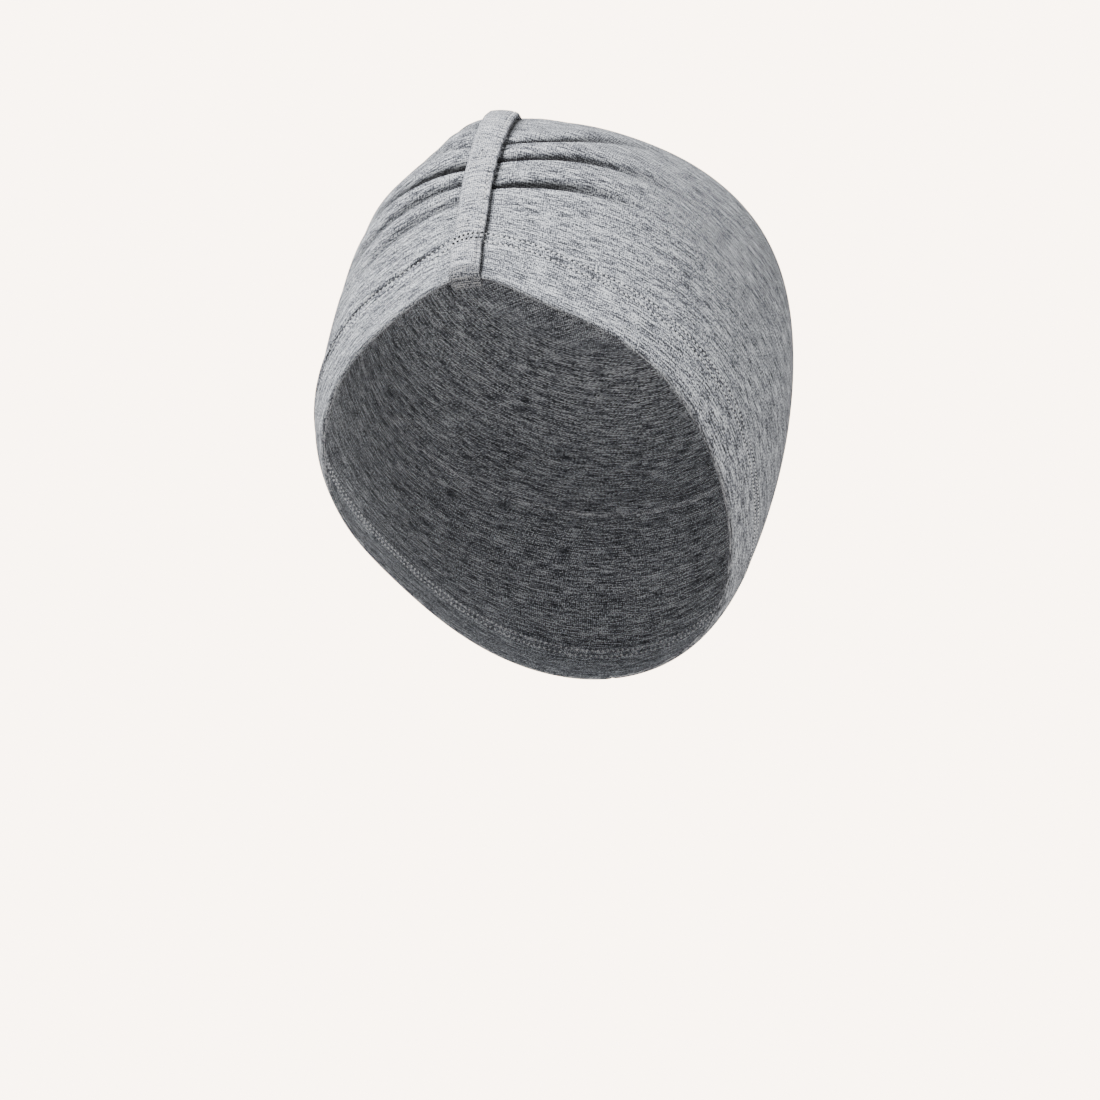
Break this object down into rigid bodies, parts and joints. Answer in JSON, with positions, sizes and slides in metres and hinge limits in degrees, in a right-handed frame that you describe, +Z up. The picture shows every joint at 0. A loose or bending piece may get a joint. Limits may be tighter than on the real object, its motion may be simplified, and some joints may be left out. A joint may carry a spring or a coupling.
{
  "type": "sleep cap",
  "caption": "Close-fitting soft jersey sleep cap with a turned-up hem and a front gathered by a narrow strap.",
  "frame": {"origin": "where the top of the head touches the inside of the crown, on the midline", "axes": "+Z up on a level head, -Y towards the wearer's front, +X towards the wearer's left"},
  "size_m": [0.154, 0.1835, 0.1837],
  "materials": {
    "jersey": "matt grey heather jersey",
    "strap_jersey": "matt grey heather jersey, folded and topstitched"
  },
  "bodies": {
    "root": {"crown": "jersey", "hem": "jersey", "front_strap": "strap_jersey"}
  },
  "joints": []
}
